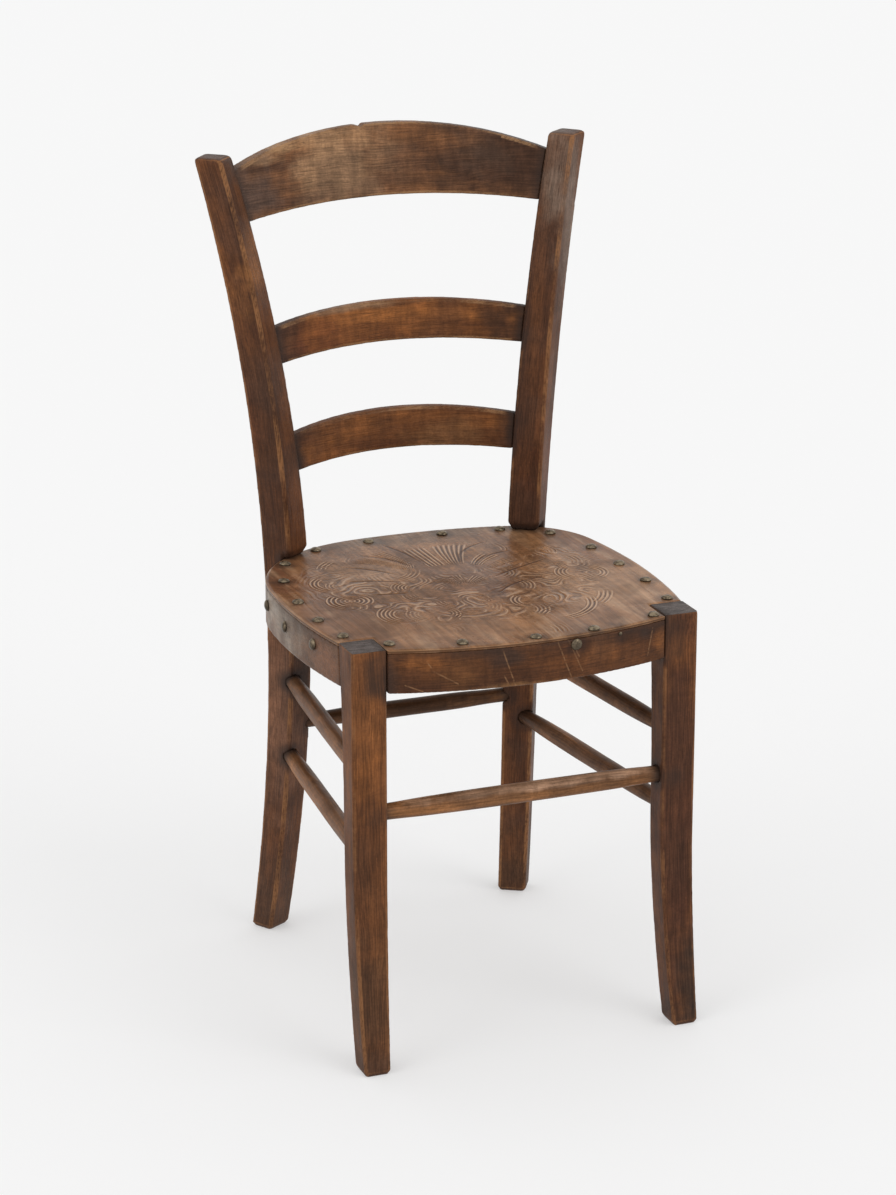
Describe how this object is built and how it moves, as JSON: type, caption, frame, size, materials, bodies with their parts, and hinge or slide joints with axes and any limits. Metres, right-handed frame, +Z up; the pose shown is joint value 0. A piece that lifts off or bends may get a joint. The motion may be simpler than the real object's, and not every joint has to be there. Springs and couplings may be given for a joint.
{
  "type": "wooden chair",
  "caption": "Rigid wooden side chair: bent seat hoop, embossed and nailed seat panel, arched back slats, turned stretchers, curved tapered legs.",
  "frame": {"origin": "on the floor, under the middle of the chair's bounding box", "axes": "+X to the sitter's left hand as seen from the front on the right, -Y towards the front of the seat, +Z up"},
  "size_m": [0.4436, 0.4634, 0.8963],
  "materials": {
    "dark_wood": "worn dark stain and wax over beech, paler on the arrises",
    "frame_wood": "worn brown stain over beech, satin",
    "seat_board": "embossed board, stain worn to grey-brown where it is sat on",
    "plain_wood": "unfinished beech",
    "brass_nail": "aged domed heads",
    "steel_screw": "dull steel"
  },
  "bodies": {
    "root": {"rear_post_right": "dark_wood", "rear_post_left": "dark_wood", "front_leg_right": "frame_wood", "front_leg_left": "frame_wood", "seat_hoop": "frame_wood", "front_rail": "frame_wood", "seat_panel": "seat_board", "crest_rail": "dark_wood", "middle_slat": "dark_wood", "lower_slat": "dark_wood", "corner_block_right": "plain_wood", "corner_block_left": "plain_wood", "front_stretcher": "frame_wood", "rear_stretcher": "frame_wood", "side_stretcher_upper_right": "frame_wood", "side_stretcher_lower_right": "frame_wood", "side_stretcher_upper_left": "frame_wood", "side_stretcher_lower_left": "frame_wood", "panel_nail_1": "brass_nail", "panel_nail_2": "brass_nail", "panel_nail_3": "brass_nail", "panel_nail_4": "brass_nail", "panel_nail_5": "brass_nail", "panel_nail_6": "brass_nail", "panel_nail_7": "brass_nail", "panel_nail_8": "brass_nail", "panel_nail_9": "brass_nail", "panel_nail_10": "brass_nail", "panel_nail_11": "brass_nail", "panel_nail_12": "brass_nail", "panel_nail_13": "brass_nail", "panel_nail_14": "brass_nail", "panel_nail_15": "brass_nail", "panel_nail_16": "brass_nail", "panel_nail_17": "brass_nail", "panel_nail_18": "brass_nail", "panel_nail_19": "brass_nail", "hoop_nail_1": "brass_nail", "hoop_nail_2": "brass_nail", "hoop_nail_3": "brass_nail", "hoop_nail_4": "brass_nail", "hoop_nail_5": "brass_nail", "hoop_nail_6": "brass_nail", "front_rail_nail": "brass_nail", "front_rail_brad": "brass_nail", "post_screw_right": "steel_screw", "post_screw_left": "steel_screw", "block_screw_right": "steel_screw", "block_screw_left": "steel_screw"}
  },
  "joints": []
}
